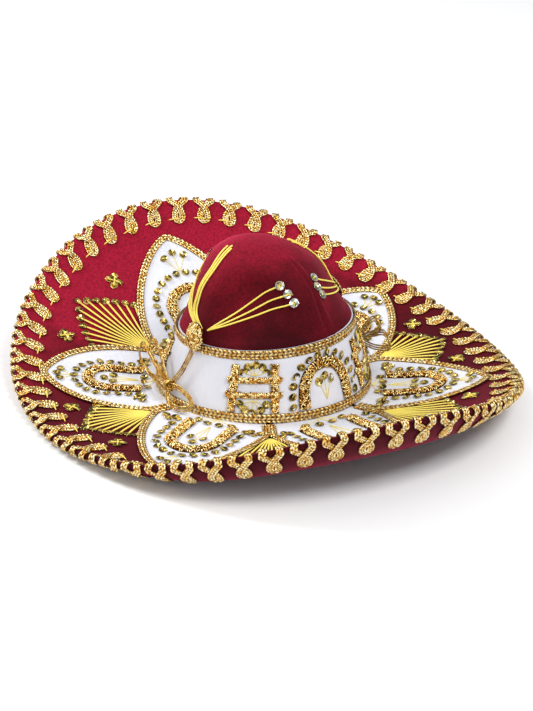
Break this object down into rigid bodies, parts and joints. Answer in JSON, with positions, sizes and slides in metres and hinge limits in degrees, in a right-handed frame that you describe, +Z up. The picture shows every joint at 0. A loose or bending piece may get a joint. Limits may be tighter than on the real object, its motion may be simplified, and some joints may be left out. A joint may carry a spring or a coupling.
{
  "type": "sombrero",
  "caption": "Wide charro hat of crimson velvet with a rolled brim, a dented crown, a white satin band, satin petals and gold braid, thread fans and cord bows.",
  "frame": {"origin": "centre of the head opening in plan, on the plane that the hat rests on", "axes": "+Z up through the crown; the wearer faces -Y; +X towards one ear"},
  "size_m": [0.5448, 0.5026, 0.1584],
  "materials": {
    "velvet": "crushed crimson velvet",
    "satin": "white satin",
    "gold_braid": "flat herringbone braid of metallic gold thread",
    "gold_bullion": "raised gold bullion embroidery",
    "gold_cord": "thin stiff gold gimp cord",
    "thread": "lustrous yellow embroidery thread",
    "sequin": "cupped metallic gold sequin",
    "board": "pressed felt and buckram stiffener",
    "lining": "dark red acetate lining",
    "sweatband": "dark brown leather",
    "wire": "spring steel wire"
  },
  "bodies": {
    "root": {"band_arch_1": "gold_bullion", "band_arch_2": "gold_bullion", "band_ladder_1": "gold_bullion", "band_ladder_2": "gold_bullion", "band_ladder_3": "gold_bullion", "band_ladder_4": "gold_bullion", "band_trim_lower": "gold_braid", "band_trim_upper": "gold_braid", "bow_back": "gold_cord", "bow_front": "gold_cord", "brim_board": "board", "brim_top_velvet": "velvet", "brim_under_velvet": "velvet", "crown_lining": "lining", "crown_side_board": "board", "crown_tip_board": "board", "crown_velvet": "velvet", "hat_band": "satin", "medallion_back": "gold_bullion", "medallion_front": "gold_bullion", "petal_1": "satin", "petal_2": "satin", "petal_3": "satin", "petal_4": "satin", "petal_5": "satin", "petal_6": "satin", "petal_scroll_1": "gold_bullion", "petal_scroll_2": "gold_bullion", "petal_scroll_3": "gold_bullion", "petal_scroll_4": "gold_bullion", "petal_scroll_5": "gold_bullion", "petal_scroll_6": "gold_bullion", "petal_trim_1": "gold_braid", "petal_trim_2": "gold_braid", "petal_trim_3": "gold_braid", "petal_trim_4": "gold_braid", "petal_trim_5": "gold_braid", "petal_trim_6": "gold_braid", "rim_braid": "gold_braid", "rim_wire": "wire", "sweatband": "sweatband", "thread_fan_1": "thread", "thread_fan_2": "thread", "thread_fan_3": "thread", "thread_fan_4": "thread", "thread_fan_5": "thread", "thread_fan_6": "thread", "threads_return_back": "thread", "threads_return_front": "thread", "threads_ridge_back": "thread", "threads_ridge_front": "thread", "threads_sweep_back": "thread", "threads_sweep_front": "thread"}
  },
  "joints": []
}
